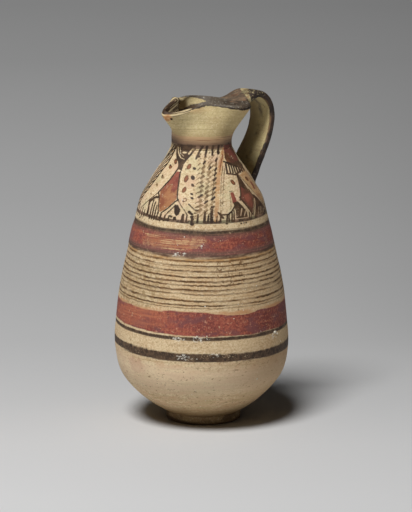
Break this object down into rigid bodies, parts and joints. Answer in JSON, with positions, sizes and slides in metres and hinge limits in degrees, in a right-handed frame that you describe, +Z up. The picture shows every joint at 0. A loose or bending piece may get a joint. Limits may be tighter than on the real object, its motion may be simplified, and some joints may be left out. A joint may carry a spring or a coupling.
{
  "type": "terracotta juglet",
  "caption": "Wheel-thrown clay juglet with a sack-shaped body, a low foot, a narrow neck, a three-lobed pouring mouth and one flat strap handle.",
  "frame": {"origin": "middle of the foot's standing face", "axes": "+Z up along the axis that the body was thrown on, +X towards the handle, -X towards the spout"},
  "size_m": [0.083, 0.083, 0.1562],
  "materials": {
    "bare_clay": "matte fired clay with a thin worn slip",
    "painted_slip": "matte pale slip with painted bands and a frieze in red and brown-black",
    "pale_slip": "matte pale slip",
    "dark_paint": "worn brown-black slip paint"
  },
  "bodies": {
    "root": {"foot_disc": "bare_clay", "body_wall": "painted_slip", "neck_and_mouth": "pale_slip", "strap_handle": "dark_paint", "upper_luting": "dark_paint", "lower_luting": "dark_paint"}
  },
  "joints": []
}
